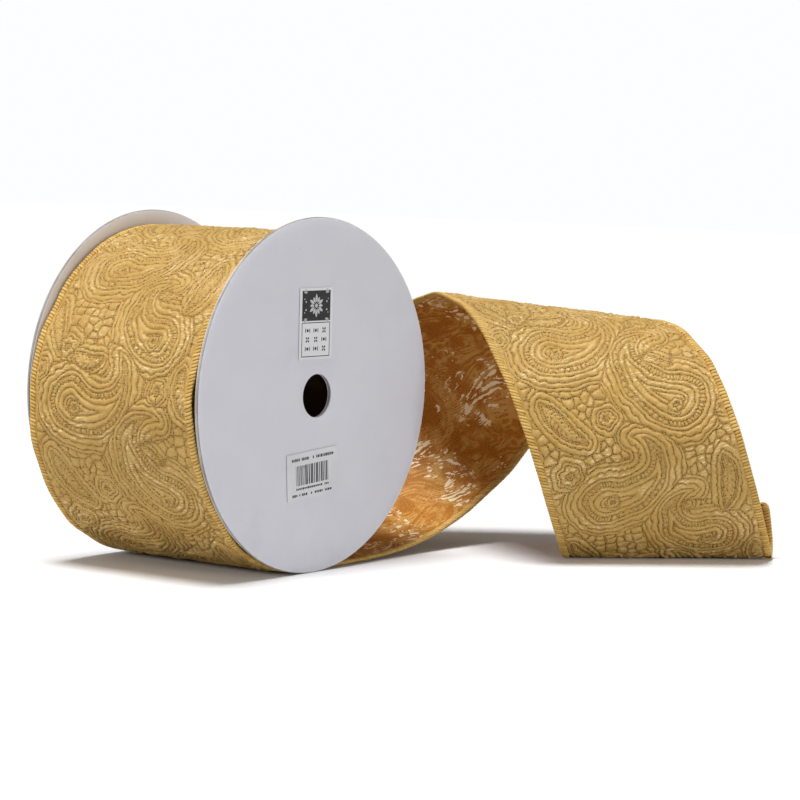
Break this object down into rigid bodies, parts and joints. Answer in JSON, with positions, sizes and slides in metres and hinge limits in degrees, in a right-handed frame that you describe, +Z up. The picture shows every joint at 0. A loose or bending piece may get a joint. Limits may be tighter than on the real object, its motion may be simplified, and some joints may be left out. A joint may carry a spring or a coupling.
{
  "type": "ribbon spool",
  "caption": "Cardboard reel of wide quilted gift ribbon with thread-wrapped wired edges; its free end is pulled off, arched on the table and curled at the tip.",
  "frame": {"origin": "on the floor, in the middle of the footprint", "axes": "+Z up; the spool's axis runs along Y with its labelled end facing -Y; the ribbon leaves towards +X"},
  "size_m": [0.2967, 0.2467, 0.168],
  "materials": {
    "chipboard": "matte",
    "white_paper": "matte",
    "core_cardboard": "matte",
    "glue": "satin",
    "tape": "gloss",
    "label_paper": "satin",
    "ribbon_cloth": "satin",
    "edge_thread": "satin",
    "wire": "satin"
  },
  "bodies": {
    "ribbon": {"loose_turn": "ribbon_cloth", "ribbon_tail": "ribbon_cloth", "turn_front_edging": "edge_thread", "turn_rear_edging": "edge_thread", "tail_front_edging": "edge_thread", "tail_rear_edging": "edge_thread", "front_edge_wire": "wire", "rear_edge_wire": "wire"},
    "spool": {"front_flange_board": "chipboard", "front_flange_facing": "white_paper", "front_flange_lining": "white_paper", "rear_flange_board": "chipboard", "rear_flange_facing": "white_paper", "rear_flange_lining": "white_paper", "core_tube": "core_cardboard", "front_glue_bead": "glue", "rear_glue_bead": "glue", "start_tape": "tape", "ribbon_roll": "ribbon_cloth", "roll_front_edging": "edge_thread", "roll_rear_edging": "edge_thread", "trade_label": "label_paper", "barcode_label": "label_paper"}
  },
  "joints": [
    {"name": "spool_turn", "type": "hinge", "parent": "ribbon", "child": "spool", "pos_m": [-0.0623, 0.0693, 0.084], "axis": [0, 1, 0], "continuous": true}
  ]
}
